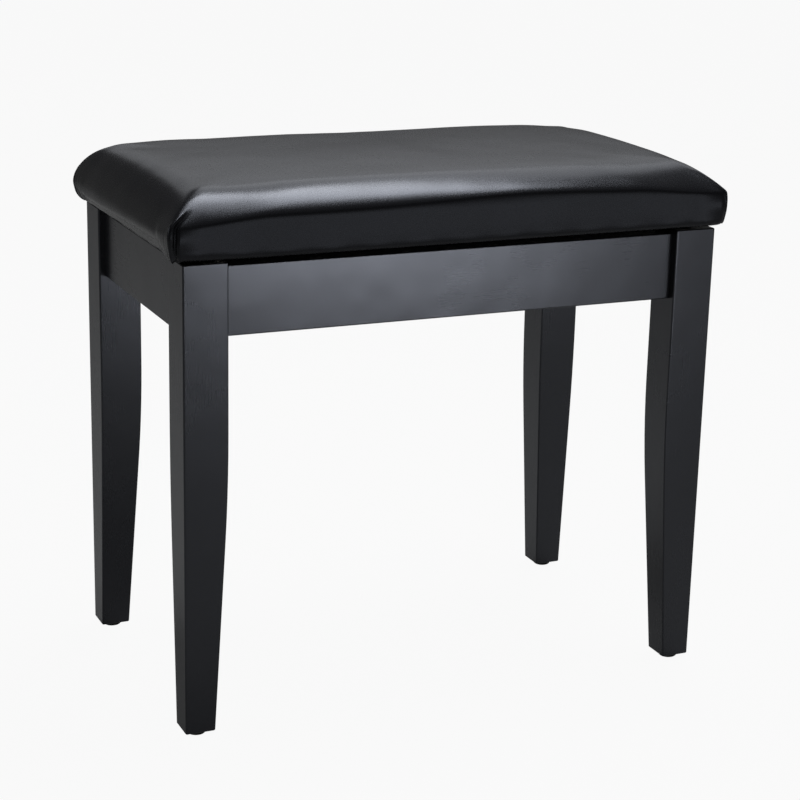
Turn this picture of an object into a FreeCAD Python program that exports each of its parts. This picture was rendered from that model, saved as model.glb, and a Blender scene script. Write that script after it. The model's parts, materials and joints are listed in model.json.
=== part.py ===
import FreeCAD, Part
import math
import os

os.makedirs("parts", exist_ok=True)
V = FreeCAD.Vector

# Piano bench with a hinged padded seat over a music compartment. Millimetres.
# X runs along the bench, -Y is the player's side, Z = 0 is the floor.

# Frame
leg_span_x = 521.0          # across the outer faces of the legs
leg_span_y = 300.0
leg_length = 430.0          # wood only, without the glide
leg_side = 41.0             # square section at the top
foot_side = 28.0            # square section at the foot
knee_height = 234.0         # where the straight top and the taper would meet
knee_reach = 50.0           # the bend's length each way from there
leg_edge_radius = 1.5
rail_height = 62.5
rail_thickness = 18.0
rail_drop = 4.0             # rail tops below the leg tops
rail_edge_radius = 1.2
front_setback = 8.5         # rail faces behind the leg faces
end_setback = 6.5
rear_setback = 0.5

# Compartment floor
panel_thickness = 4.0
panel_lift = 6.0            # above the rails' lower edges
groove_depth = 6.0
panel_side_gap = 0.5
panel_top_gap = 0.3

# Corner joints
dowel_radius = 4.0
dowel_length = 30.0
dowel_spacing = 30.0
fit_gap = 0.05              # radial gap of pegs, screws and bolts in their holes
plate_hole_gap = 0.2        # radial gap of screws in the holes of metal plates
block_height = 34.0
block_thickness = 20.0
block_tip = 6.0
block_gap = 0.3             # block to compartment floor
corner_flat = 8.0           # how far the leg's inner corner is cut back
bolt_radius = 4.0
bolt_bite = 28.0            # thread in the leg
bolt_spare = 3.0            # thread past the nut
bolt_hole_gap = 0.5
washer_radius = 8.0
washer_thickness = 1.6
nut_across = 13.0
nut_height = 6.5
block_screw_length = 24.0
block_screw_radius = 2.0
block_screw_head_radius = 4.0
block_screw_head_height = 2.4
block_screw_inset = 9.0     # screw axis from the block's end face on the rail
block_screw_rise = 12.5     # above the bolt
driver_room = 30.0          # bore behind a block screw's head

# Feet and bumpers
glide_height = 5.0
glide_radius = 9.0
glide_edge = 2.2
nail_radius = 1.2
nail_length = 18.0
nail_head_radius = 3.0
nail_head_height = 1.0
nail_sink = 1.4             # nail head above the glide's sole
nail_well_gap = 0.4         # radial gap round the nail head
bumper_radius = 6.0
bumper_edge = 0.6

# Seat
seat_end_overhang = 10.5    # past the outer faces of the legs
seat_side_overhang = 3.0
seat_height = 60.5          # underside to crown
seat_gap = 3.5              # leg tops to the seat's underside
seat_corner = 6.0
corner_growth = 0.6         # how much rounder the corner gets for each step inwards
corner_most = 30.0
corner_least = 2.0
cover_thickness = 1.2
cover_slack = 0.2           # cover to the board's underside
hem_width = 28.0
layer_gap = 0.3
board_thickness = 12.0
board_inset = 7.0           # board edge inside the cushion's widest line
board_corner = 17.0
board_edge = 1.5            # lower edge taken off
foam_skirt = 7.0            # foam turned down over the board's edge
dust_thickness = 0.8
dust_lap = 6.0              # cloth over the hem
dust_gap = 0.1
dust_hinge_gap = 1.0        # cloth edge to the hinge leaves
staple_width = 10.0
staple_wire = 0.6
staple_leg = 6.0
staple_pitch = 42.0
staple_inset = 9.0          # from the hem's outer edge
staple_end = 22.0           # first staple from the end of its row's line
dust_staple_inset = 3.0     # from the dust cloth's edge

# Hinges
hinge_length = 60.0
hinge_inset = 110.5         # hinge centres from the end faces of the legs
knuckle_gap = 0.3           # knuckle to rail and to seat
knuckle_count = 5
knuckle_space = 0.4
leaf_thickness = 1.6
leaf_clear = 0.4            # leaf edge to the other leaf's knuckles
leaf_width = 13.0
pin_radius = 1.2
pin_head_radius = 1.9
pin_head_height = 0.7
pin_head_gap = 0.1          # pin heads to the end knuckles
hinge_screw_radius = 1.5
hinge_screw_head_radius = 2.85
hinge_screw_head_height = 1.1
hinge_screw_length = 12.0
hinge_screw_pitch = 21.0

# Folding stay on the right end rail, measured forward and up from the hinge axis
stay_rail_forward = 92.5
stay_rail_down = 38.0
stay_lid_forward = 84.5
stay_lid_down = 16.0
lower_arm_length = 66.0
upper_arm_length = 80.0
stay_slot = 12.0            # play of the lid pin along the upper arm
slot_side_gap = 0.7
arm_thickness = 2.0
arm_half_width = 6.0
arm_gap = 0.4               # between the plates
rivet_radius = 2.5
rivet_head_radius = 4.2
rivet_head_height = 1.2
lid_pin_radius = 2.0
plate_length = 28.0
plate_height = 28.0
plate_nose = 9.0            # plate in front of its pivot
plate_screw_back = 13.0     # screws behind the pivot
plate_screw_pitch = 16.0
plate_corner = 4.0
flange_width = 16.0
flange_length = 32.0
stay_screw_radius = 1.6
stay_screw_length = 12.0
stay_screw_head_radius = 3.0
stay_screw_head_height = 1.2
flange_screw_pitch = 20.0
head_gap = 0.3              # rivet heads to the arms

past = 1.0                  # how far a cutting shape runs past the face it opens

# Worked out from the sizes above
half_x = leg_span_x / 2
half_y = leg_span_y / 2
seat_half_x = half_x + seat_end_overhang
seat_half_y = half_y + seat_side_overhang
leg_top = glide_height + leg_length
rail_top = leg_top - rail_drop
rail_bottom = rail_top - rail_height
front_face = half_y - front_setback
rear_face = half_y - rear_setback
end_face = half_x - end_setback
front_inner = front_face - rail_thickness
rear_inner = rear_face - rail_thickness
end_inner = end_face - rail_thickness
corner_x = half_x - leg_side
corner_y = half_y - leg_side
panel_bottom = rail_bottom + panel_lift
block_bottom = panel_bottom + panel_thickness + block_gap
block_top = block_bottom + block_height
seat_bottom = leg_top + seat_gap
board_bottom = seat_bottom + cover_thickness + cover_slack
board_top = board_bottom + board_thickness
hinge_offset = half_x - hinge_inset
hinge_y = rear_face
hinge_z = (rail_top + seat_bottom) / 2
knuckle_radius = hinge_z - rail_top - knuckle_gap

bodies = {}


def save(name, shape):
    bodies[name] = shape


def box(x0, x1, y0, y1, z0, z1):
    return Part.makeBox(x1 - x0, y1 - y0, z1 - z0, V(x0, y0, z0))


def rod(base, along, radius, length):
    return Part.makeCylinder(radius, length, base, along)


def prism(points, z0, z1):
    face = Part.Face(Part.makePolygon([V(x, y, z0) for x, y in points + points[:1]]))
    return face.extrude(V(0, 0, z1 - z0))


def join(shapes):
    shape = shapes[0]
    if len(shapes) > 1:
        shape = shape.fuse(shapes[1:]).removeSplitter()
    return shape


def corners():
    for sy, side in ((-1, "front"), (1, "back")):
        for sx, hand in ((-1, "left"), (1, "right")):
            yield sx, sy, side + "_" + hand


def to_corner(shape, sx, sy):
    """Turn a shape made for the +X +Y corner to another corner."""
    if sx < 0:
        shape = shape.mirror(V(0, 0, 0), V(1, 0, 0))
    if sy < 0:
        shape = shape.mirror(V(0, 0, 0), V(0, 1, 0))
    return shape


# ---------------------------------------------------------------- corner joints
diagonal = V(1, 1, 0).normalize()
flat_sum = corner_x + corner_y + corner_flat          # x + y on the leg's corner flat
block_sum = flat_sum - block_thickness * math.sqrt(2)
bolt_base = V(corner_x + corner_flat / 2, corner_y + corner_flat / 2, (block_bottom + block_top) / 2)
bolt_length = bolt_bite + block_thickness + washer_thickness + nut_height + bolt_spare
dowel_mid = (rail_top + rail_bottom) / 2
dowel_heights = (dowel_mid - dowel_spacing / 2, dowel_mid + dowel_spacing / 2)


def long_rail_inner(sy):
    return rear_inner if sy > 0 else front_inner


def long_dowel_line(sy, z):
    middle = long_rail_inner(sy) + rail_thickness / 2
    return V(corner_x - dowel_length / 2, middle, z)


def end_dowel_line(z):
    return V(end_inner + rail_thickness / 2, corner_y - dowel_length / 2, z)


def dowels(sy, gap):
    """Both rails' dowels in one corner, or their holes when gap is not zero."""
    made = []
    length = dowel_length + 2 * gap
    for z in dowel_heights:
        made.append(rod(long_dowel_line(sy, z) - V(gap, 0, 0), V(1, 0, 0), dowel_radius + gap, length))
        made.append(rod(end_dowel_line(z) - V(0, gap, 0), V(0, 1, 0), dowel_radius + gap, length))
    return made


def block_screw_lines(sy):
    """Where each block screw's head sits and which way it points, +X +Y corner."""
    inner = long_rail_inner(sy)
    middle = bolt_base.z + block_screw_rise
    long_end = block_sum - inner + block_tip + block_screw_inset
    side_end = block_sum - end_inner + block_tip + block_screw_inset
    sunk = block_screw_length - rail_thickness / 2
    return (
        (V(long_end, inner - sunk, middle), V(0, 1, 0)),
        (V(end_inner - sunk, side_end, middle), V(1, 0, 0)),
    )


def screw(head, along, length, radius, head_radius, head_height):
    """A pan-headed wood screw with a cross recess; head is the face under its head."""
    tip_length = 2 * radius
    point_radius = radius * 0.15
    recess_reach = head_radius * 0.6
    recess_half_width = radius * 0.2
    recess_depth = head_height / 2
    shank = rod(head, along, radius, length - tip_length)
    tip = Part.makeCone(radius, point_radius, tip_length, head + along * (length - tip_length), along)
    cap = rod(head - along * head_height, along, head_radius, head_height)
    slot = box(-recess_reach, recess_reach, -recess_half_width, recess_half_width, 0, recess_depth)
    cross = slot.fuse(slot.rotated(V(0, 0, 0), V(0, 0, 1), 90))
    cross.Placement = FreeCAD.Placement(head - along * head_height, FreeCAD.Rotation(V(0, 0, 1), along))
    return join([shank, tip, cap]).cut(cross)


def screw_hole(head, along, length, radius, head_radius, mouth):
    """Hole for a screw, with a round seat for its head, open for mouth behind it."""
    return rod(head, along, radius + fit_gap, length + fit_gap).fuse(
        rod(head - along * mouth, along, head_radius + fit_gap, mouth))


# ---------------------------------------------------------------- legs
def tapered_profile(half, to_point):
    """Outline of one leg face: outer edge upright, inner edge bent in towards the foot."""
    lean = math.atan((leg_side - foot_side) / (knee_height - glide_height))
    bend_radius = knee_reach / math.tan(lean / 2)
    inner = half - leg_side
    bend_low = (inner + knee_reach * math.sin(lean), knee_height - knee_reach * math.cos(lean))
    bend_high = (inner, knee_height + knee_reach)
    middle_angle = math.pi + lean / 2
    bend_middle = (inner + bend_radius + bend_radius * math.cos(middle_angle),
                   bend_high[1] + bend_radius * math.sin(middle_angle))
    foot_inner = (half - foot_side, glide_height)
    low, middle, high = to_point(*bend_low), to_point(*bend_middle), to_point(*bend_high)
    path = [
        Part.LineSegment(to_point(*foot_inner), low).toShape(),
        Part.Arc(low, middle, high).toShape(),
        Part.LineSegment(high, to_point(inner, leg_top)).toShape(),
        Part.LineSegment(to_point(inner, leg_top), to_point(half, leg_top)).toShape(),
        Part.LineSegment(to_point(half, leg_top), to_point(half, glide_height)).toShape(),
        Part.LineSegment(to_point(half, glide_height), to_point(*foot_inner)).toShape(),
    ]
    return Part.Face(Part.Wire(path))


def make_leg():
    reach = leg_side + 2 * past
    along_x = tapered_profile(half_x, lambda a, z: V(a, corner_y - past, z)).extrude(V(0, reach, 0))
    along_y = tapered_profile(half_y, lambda a, z: V(corner_x - past, a, z)).extrude(V(reach, 0, 0))
    leg = along_x.common(along_y)
    upright = [e for e in leg.Edges if e.BoundBox.ZLength > leg_side / 2]
    leg = leg.makeFillet(leg_edge_radius, upright)
    ends = [e for e in leg.Edges if e.BoundBox.ZLength < 0.01]
    return leg.makeChamfer(leg_edge_radius / 2, ends)


def nail_place(sx, sy):
    return V(sx * (half_x - foot_side / 2), sy * (half_y - foot_side / 2), nail_sink)


plain_leg = make_leg()
flat_cut = prism([(corner_x - past, corner_y - past), (flat_sum - corner_y + past, corner_y - past),
                  (corner_x - past, flat_sum - corner_x + past)],
                 block_bottom, block_top)

for sx, sy, place in corners():
    leg = plain_leg.cut([flat_cut] + dowels(sy, fit_gap))
    leg = leg.cut(rod(bolt_base - diagonal * leg_side, diagonal, bolt_radius + fit_gap,
                      leg_side + bolt_bite + fit_gap))
    leg = leg.cut(rod(nail_place(1, 1), V(0, 0, 1), nail_radius + fit_gap, nail_length + fit_gap))
    save("leg_" + place, to_corner(leg, sx, sy))

# ---------------------------------------------------------------- stay places
stay_hinge = V(0, hinge_y, hinge_z)
rail_pivot = stay_hinge + V(0, -stay_rail_forward, -stay_rail_down)
lid_pivot = stay_hinge + V(0, -stay_lid_forward, -stay_lid_down)


def elbow_place():
    """The elbow is where the two arms' lengths meet, below and in front of the pivots."""
    line = lid_pivot - rail_pivot
    span = line.Length
    along = (lower_arm_length ** 2 - upper_arm_length ** 2 + span ** 2) / (2 * span)
    side = math.sqrt(lower_arm_length ** 2 - along ** 2)
    unit = line * (1 / span)
    return rail_pivot + unit * along + V(0, -unit.z, unit.y) * side


elbow = elbow_place()
plate_outer = end_inner
plate_inner = plate_outer - arm_thickness
lower_outer = plate_inner - arm_gap
lower_inner = lower_outer - arm_thickness
upper_outer = lower_inner - arm_gap
upper_inner = upper_outer - arm_thickness
tab_outer = upper_inner - arm_gap
tab_inner = tab_outer - arm_thickness
flange_top = seat_bottom - dust_thickness - dust_gap
flange_inner = tab_inner - flange_width

plate_screws = [rail_pivot + V(end_inner, plate_screw_back, sign * plate_screw_pitch / 2)
                for sign in (-1, 1)]
flange_middle = V((flange_inner + tab_inner) / 2, lid_pivot.y, flange_top - arm_thickness)
flange_screws = [flange_middle + V(0, sign * flange_screw_pitch / 2, 0) for sign in (-1, 1)]


# ---------------------------------------------------------------- rails
def rail_bar(x0, x1, y0, y1, long_x):
    bar = box(x0, x1, y0, y1, rail_bottom, rail_top)
    size = (lambda e: e.BoundBox.XLength) if long_x else (lambda e: e.BoundBox.YLength)
    edges = [e for e in bar.Edges if size(e) > rail_height]
    return bar.makeFillet(rail_edge_radius, edges)


def in_all_corners(make, sy_list=(-1, 1), sx_list=(-1, 1)):
    made = []
    for sx in sx_list:
        for sy in sy_list:
            made += [to_corner(s, sx, sy) for s in make(sy)]
    return made


def block_screw_holes(sy):
    return [screw_hole(head, along, block_screw_length, block_screw_radius,
                       block_screw_head_radius, driver_room)
            for head, along in block_screw_lines(sy)]


groove = box(-end_inner - groove_depth, end_inner + groove_depth,
             -front_inner - groove_depth, rear_inner + groove_depth,
             panel_bottom, panel_bottom + panel_thickness + panel_top_gap)

for name, sy in (("rail_front", -1), ("rail_rear", 1)):
    inner = long_rail_inner(sy)
    low, high = sorted((sy * inner, sy * (inner + rail_thickness)))
    rail = rail_bar(-corner_x, corner_x, low, high, True)
    cuts = in_all_corners(lambda s: dowels(s, fit_gap), (sy,)) + in_all_corners(block_screw_holes, (sy,))
    save(name, rail.cut([groove] + cuts))

for name, sx in (("rail_left", -1), ("rail_right", 1)):
    low, high = sorted((sx * end_inner, sx * end_face))
    rail = rail_bar(low, high, -corner_y, corner_y, False)
    cuts = in_all_corners(lambda s: dowels(s, fit_gap), (-1, 1), (sx,))
    cuts += in_all_corners(block_screw_holes, (-1, 1), (sx,))
    if sx > 0:
        cuts += [rod(p - V(arm_thickness, 0, 0), V(1, 0, 0), stay_screw_radius + fit_gap,
                     stay_screw_length) for p in plate_screws]
    save(name, rail.cut([groove] + cuts))

# ---------------------------------------------------------------- compartment floor
reach_x = end_inner + groove_depth - panel_side_gap
panel = box(-reach_x, reach_x, -front_inner - groove_depth + panel_side_gap,
            rear_inner + groove_depth - panel_side_gap, panel_bottom, panel_bottom + panel_thickness)
notch = box(corner_x - panel_side_gap, half_x, corner_y - panel_side_gap, half_y, 0, leg_top)
save("bottom_panel", panel.cut([to_corner(notch, sx, sy) for sx, sy, place in corners()]))


# ---------------------------------------------------------------- corner blocks and bolts
def make_block(sy):
    inner = long_rail_inner(sy)
    long_tip = block_sum - inner + block_tip
    side_tip = block_sum - end_inner + block_tip
    block = prism([(long_tip, inner), (long_tip, inner - block_tip), (end_inner - block_tip, side_tip),
                   (end_inner, side_tip), (end_inner, inner)], block_bottom, block_top)
    leg_room = prism([(corner_x, flat_sum - corner_x), (flat_sum - corner_y, corner_y),
                      (half_x, corner_y), (half_x, half_y), (corner_x, half_y)],
                     block_bottom - past, block_top + past)
    bolt_hole = rod(bolt_base - diagonal * bolt_length, diagonal, bolt_radius + bolt_hole_gap, bolt_length)
    return block.cut([leg_room, bolt_hole] + block_screw_holes(sy))


def nut(base, along):
    ring = []
    corner_radius = nut_across / math.sqrt(3)
    for i in range(6):
        angle = math.radians(60 * i)
        ring.append((math.cos(angle) * corner_radius, math.sin(angle) * corner_radius))
    body = prism(ring, 0, nut_height)
    body.Placement = FreeCAD.Placement(base, FreeCAD.Rotation(V(0, 0, 1), along))
    return body.cut(rod(base - along * past, along, bolt_radius + fit_gap, nut_height + 2 * past))


block_face = bolt_base - diagonal * block_thickness
nut_face = block_face - diagonal * washer_thickness
bolt_start = nut_face - diagonal * (nut_height + bolt_spare)
hanger = rod(bolt_start, diagonal, bolt_radius, bolt_length)
washer = rod(nut_face, diagonal, washer_radius, washer_thickness).cut(
    rod(nut_face - diagonal * past, diagonal, bolt_radius + bolt_hole_gap, washer_thickness + 2 * past))
hex_nut = nut(nut_face, diagonal * -1)

dowel_set, bolt_set, washer_set, nut_set, block_screw_set = [], [], [], [], []
for sx, sy, place in corners():
    save("corner_block_" + place, to_corner(make_block(sy), sx, sy))
    dowel_set += [to_corner(d, sx, sy) for d in dowels(sy, 0)]
    bolt_set.append(to_corner(hanger, sx, sy))
    washer_set.append(to_corner(washer, sx, sy))
    nut_set.append(to_corner(hex_nut, sx, sy))
    for head, along in block_screw_lines(sy):
        made = screw(head, along, block_screw_length, block_screw_radius, block_screw_head_radius,
                     block_screw_head_height)
        block_screw_set.append(to_corner(made, sx, sy))
save("rail_dowels", Part.makeCompound(dowel_set))
save("hanger_bolts", Part.makeCompound(bolt_set))
save("bolt_washers", Part.makeCompound(washer_set))
save("bolt_nuts", Part.makeCompound(nut_set))
save("block_screws", Part.makeCompound(block_screw_set))

# ---------------------------------------------------------------- glides, nails and bumpers
nail_set = []
for sx, sy, place in corners():
    foot = nail_place(sx, sy)
    glide = rod(V(foot.x, foot.y, 0), V(0, 0, 1), glide_radius, glide_height)
    glide = glide.makeFillet(glide_edge, [e for e in glide.Edges if e.BoundBox.ZMax < 0.01])
    well = rod(V(foot.x, foot.y, -past), V(0, 0, 1), nail_head_radius + nail_well_gap,
               past + nail_sink + nail_head_height)
    hole = rod(V(foot.x, foot.y, 0), V(0, 0, 1), nail_radius + fit_gap, glide_height)
    save("glide_" + place, glide.cut([well, hole]))
    nail_head = rod(foot, V(0, 0, 1), nail_head_radius, nail_head_height)
    nail_set.append(join([nail_head, rod(foot, V(0, 0, 1), nail_radius, nail_length)]))
    bumper_height = seat_bottom - dust_thickness - dust_gap - layer_gap - leg_top
    middle = V(sx * (half_x - leg_side / 2), sy * (half_y - leg_side / 2), leg_top)
    bumper = rod(middle, V(0, 0, 1), bumper_radius, bumper_height)
    top_edges = [e for e in bumper.Edges if e.BoundBox.ZMin > leg_top + bumper_height - 0.01]
    save("lid_bumper_" + place, bumper.makeFillet(bumper_edge, top_edges))
save("glide_nails", Part.makeCompound(nail_set))


# ---------------------------------------------------------------- hinges
def hinge_screw_places(centre):
    middle = hinge_y - knuckle_radius - leaf_clear - leaf_width / 2
    return [(centre + step * hinge_screw_pitch, middle) for step in (-1, 0, 1)]


def knuckle_spans(centre, first):
    pitch = (hinge_length + knuckle_space) / knuckle_count
    start = centre - hinge_length / 2
    return [(start + i * pitch, start + i * pitch + pitch - knuckle_space)
            for i in range(first, knuckle_count, 2)]


def make_leaf(centre, z_outer, first, up):
    """One leaf: a plate on the face at z_outer with every other knuckle."""
    low, high = sorted((z_outer, z_outer + up * leaf_thickness))
    inner_edge = hinge_y - knuckle_radius - leaf_clear
    x0 = centre - hinge_length / 2
    leaf = [box(x0, x0 + hinge_length, inner_edge - leaf_width, inner_edge, low, high)]
    for a, b in knuckle_spans(centre, first):
        leaf.append(box(a, b, inner_edge - past, hinge_y, low, high))
        leaf.append(rod(V(a, hinge_y, hinge_z), V(1, 0, 0), knuckle_radius, b - a))
    leaf = join(leaf)
    cuts = [rod(V(x0 - past, hinge_y, hinge_z), V(1, 0, 0), pin_radius + fit_gap, hinge_length + 2 * past)]
    for x, y in hinge_screw_places(centre):
        cuts.append(rod(V(x, y, low - past), V(0, 0, 1), hinge_screw_radius + plate_hole_gap,
                        leaf_thickness + 2 * past))
    return leaf.cut(cuts)


frame_screws, lid_screws = [], []
pin_past = pin_head_gap + pin_head_height         # how far the pin runs past the knuckles
for sx, hand in ((-1, "left"), (1, "right")):
    centre = sx * hinge_offset
    save("hinge_frame_leaf_" + hand, make_leaf(centre, rail_top, 0, 1))
    save("hinge_lid_leaf_" + hand, make_leaf(centre, seat_bottom, 1, -1))
    start = V(centre - hinge_length / 2 - pin_past, hinge_y, hinge_z)
    far_head = start + V(pin_past + hinge_length + pin_head_gap, 0, 0)
    pin = join([rod(start, V(1, 0, 0), pin_radius, hinge_length + 2 * pin_past),
                rod(start, V(1, 0, 0), pin_head_radius, pin_head_height),
                rod(far_head, V(1, 0, 0), pin_head_radius, pin_head_height)])
    save("hinge_pin_" + hand, pin)
    for x, y in hinge_screw_places(centre):
        frame_screws.append(screw(V(x, y, rail_top + leaf_thickness), V(0, 0, -1), hinge_screw_length,
                                  hinge_screw_radius, hinge_screw_head_radius, hinge_screw_head_height))
        lid_screws.append(screw(V(x, y, seat_bottom - leaf_thickness), V(0, 0, 1), hinge_screw_length,
                                hinge_screw_radius, hinge_screw_head_radius, hinge_screw_head_height))
save("hinge_screws_frame", Part.makeCompound(frame_screws))
save("hinge_screws_lid", Part.makeCompound(lid_screws))
rear_holes = []
lid_holes = []
for sx in (-1, 1):
    for x, y in hinge_screw_places(sx * hinge_offset):
        rear_holes.append(rod(V(x, y, rail_top - hinge_screw_length), V(0, 0, 1),
                              hinge_screw_radius + fit_gap, hinge_screw_length + past))
        lid_holes.append(rod(V(x, y, seat_bottom - past), V(0, 0, 1), hinge_screw_radius + fit_gap,
                             hinge_screw_length + past))
bodies["rail_rear"] = bodies["rail_rear"].cut(rear_holes)

# ---------------------------------------------------------------- seat
# Height up the cushion and how far its side has moved in there, from the underside to the crown.
cushion_steps = ((0.0, 7.0), (1.2, 4.0), (3.5, 1.5), (8.0, 0.0), (28.0, 0.0), (34.7, 4.0), (39.9, 8.0),
                 (46.2, 14.0), (51.1, 20.0), (55.5, 28.0), (58.1, 40.0), (59.3, 65.0), (60.5, 95.0))


def rounded_wire(hx, hy, r, z):
    turn = r * (1 - math.sqrt(0.5))
    edges = []
    ends = ((hx, -hy + r, hx, hy - r), (hx - r, hy, -hx + r, hy),
            (-hx, hy - r, -hx, -hy + r), (-hx + r, -hy, hx - r, -hy))
    bends = ((hx - turn, hy - turn), (-hx + turn, hy - turn),
             (-hx + turn, -hy + turn), (hx - turn, -hy + turn))
    for i in range(4):
        x0, y0, x1, y1 = ends[i]
        nx, ny = ends[(i + 1) % 4][:2]
        bx, by = bends[i]
        edges.append(Part.LineSegment(V(x0, y0, z), V(x1, y1, z)).toShape())
        edges.append(Part.Arc(V(x1, y1, z), V(bx, by, z), V(nx, ny, z)).toShape())
    return Part.Wire(edges)


def cushion(inset):
    """The seat's rounded form, or the same form set in by a thickness all round."""
    scale = (seat_height - 2 * inset) / cushion_steps[-1][0]
    wires = []
    for rise, shift in cushion_steps:
        hx = seat_half_x - inset - shift
        hy = seat_half_y - inset - shift
        corner = min(max(seat_corner - inset, corner_least) + shift * corner_growth, corner_most)
        wires.append(rounded_wire(hx, hy, corner, seat_bottom + inset + rise * scale))
    return Part.makeLoft(wires, True, True)


outer = cushion(0)
inner = cushion(cover_thickness)
edge_x = seat_half_x - cushion_steps[0][1]          # edge of the seat's underside
edge_y = seat_half_y - cushion_steps[0][1]
hem_x = edge_x - hem_width
hem_y = edge_y - hem_width
hem_opening = box(-hem_x, hem_x, -hem_y, hem_y, seat_bottom - past, seat_bottom + cover_thickness + past)
board_x = seat_half_x - board_inset
board_y = seat_half_y - board_inset


def board_solid(grow):
    wire = rounded_wire(board_x + grow, board_y + grow, board_corner + grow, board_bottom - grow)
    return Part.Face(wire).extrude(V(0, 0, board_thickness + 2 * grow))


def staple_places(line_x, front_y, rear_y):
    """Evenly spaced places on four sides, each with whether it is turned to run along Y."""
    places = []
    for start, end, lines, turned in (
            (-line_x + staple_end, line_x - staple_end, (front_y, rear_y), False),
            (front_y + staple_end, rear_y - staple_end, (-line_x, line_x), True)):
        count = int((end - start) / staple_pitch)
        for i in range(count + 1):
            along = start + (end - start) * i / count
            for line in lines:
                places.append((line, along, True) if turned else (along, line, False))
    return places


def bar(x, y, across, wide, z0, z1):
    """A small bar centred on x, y: across along X and wide along Y."""
    return box(x - across / 2, x + across / 2, y - wide / 2, y + wide / 2, z0, z1)


def staple(x, y, turned, face):
    """A staple driven up through face, and the holes for its two legs."""
    size = (staple_wire, staple_width) if turned else (staple_width, staple_wire)
    room = staple_wire + 2 * fit_gap
    parts = [bar(x, y, size[0], size[1], face - staple_wire, face)]
    holes = []
    for sign in (-1, 1):
        step = sign * (staple_width - staple_wire) / 2
        lx, ly = (x, y + step) if turned else (x + step, y)
        parts.append(bar(lx, ly, staple_wire, staple_wire, face - staple_wire, face + staple_leg))
        holes.append(bar(lx, ly, room, room, face - past, face + staple_leg + fit_gap))
    return join(parts), holes


def staple_row(places, face):
    made = [staple(x, y, turned, face) for x, y, turned in places]
    return [one for one, holes in made], [hole for one, holes in made for hole in holes]


def clear_of_hinges(x, y):
    near_hinge = abs(abs(x) - hinge_offset) < hinge_length / 2 + staple_width
    return not (near_hinge and y > 0)


dust_x = hem_x + dust_lap
dust_front = hem_y + dust_lap
leaf_front = hinge_y - knuckle_radius - leaf_clear - leaf_width
dust_rear = min(dust_front, leaf_front - dust_hinge_gap)
dust_top = seat_bottom - dust_gap
dust_bottom = dust_top - dust_thickness

cover_line_x = edge_x - staple_inset
cover_line_y = edge_y - staple_inset
cover_places = staple_places(cover_line_x, -cover_line_y, cover_line_y)
cover_staples, cover_holes = staple_row([place for place in cover_places if clear_of_hinges(*place[:2])],
                                        seat_bottom)
dust_staples, dust_holes = staple_row(
    staple_places(dust_x - dust_staple_inset, dust_staple_inset - dust_front, dust_rear - dust_staple_inset),
    dust_bottom)

flange_holes = [rod(p - V(0, 0, past), V(0, 0, 1), stay_screw_radius + fit_gap, stay_screw_length + past)
                for p in flange_screws]
seat_cuts = lid_holes + cover_holes + dust_holes + flange_holes
save("seat_cover", outer.cut(inner).cut([hem_opening] + seat_cuts))
board = board_solid(0)
board = board.makeChamfer(board_edge, [e for e in board.Edges if e.BoundBox.ZMax < board_bottom + 0.01])
save("seat_board", board.cut(seat_cuts))
foam_room = box(-seat_half_x, seat_half_x, -seat_half_y, seat_half_y, board_top - foam_skirt,
                seat_bottom + seat_height)
save("seat_foam", cushion(cover_thickness + layer_gap).common(foam_room).cut(board_solid(layer_gap)))
save("cover_staples", Part.makeCompound(cover_staples))
save("dust_cloth", box(-dust_x, dust_x, -dust_front, dust_rear, dust_bottom, dust_top)
     .cut(flange_holes + dust_holes))
save("dust_staples", Part.makeCompound(dust_staples))


# ---------------------------------------------------------------- stay
def capsule(p0, p1, r, x0, x1):
    """A flat bar with round ends, from x0 to x1."""
    along = (p1 - p0).normalize()
    side = V(0, -along.z, along.y) * r
    a, b = V(x0, p0.y, p0.z), V(x0, p1.y, p1.z)
    edges = [
        Part.LineSegment(a + side, b + side).toShape(),
        Part.Arc(b + side, b + along * r, b - side).toShape(),
        Part.LineSegment(b - side, a - side).toShape(),
        Part.Arc(a - side, a - along * r, a + side).toShape(),
    ]
    return Part.Face(Part.Wire(edges)).extrude(V(x1 - x0, 0, 0))


def bore(p, r, x0, x1):
    return rod(V(x0 - past, p.y, p.z), V(1, 0, 0), r, x1 - x0 + 2 * past)


def rivet(p, r, x0, x1, head_r, head_h):
    """Shank from x0 to x1 with a head on its inner end at x0."""
    return join([rod(V(x0 - head_h, p.y, p.z), V(1, 0, 0), r, x1 - x0 + head_h),
                 rod(V(x0 - head_h, p.y, p.z), V(1, 0, 0), head_r, head_h)])


lower_arm = capsule(rail_pivot, elbow, arm_half_width, lower_inner, lower_outer)
lower_arm = lower_arm.cut([bore(rail_pivot, rivet_radius + fit_gap, lower_inner, lower_outer),
                           bore(elbow, rivet_radius + fit_gap, lower_inner, lower_outer)])
save("stay_lower_arm", lower_arm)

reach = (lid_pivot - elbow).normalize()
slot_end = lid_pivot + reach * stay_slot
upper_arm = capsule(elbow, slot_end, arm_half_width, upper_inner, upper_outer)
lid_slot = capsule(lid_pivot - reach * slot_side_gap, slot_end, lid_pin_radius + slot_side_gap,
                   upper_inner - past, upper_outer + past)
upper_arm = upper_arm.cut([lid_slot, bore(elbow, rivet_radius + fit_gap, upper_inner, upper_outer)])
save("stay_upper_arm", upper_arm)

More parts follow.
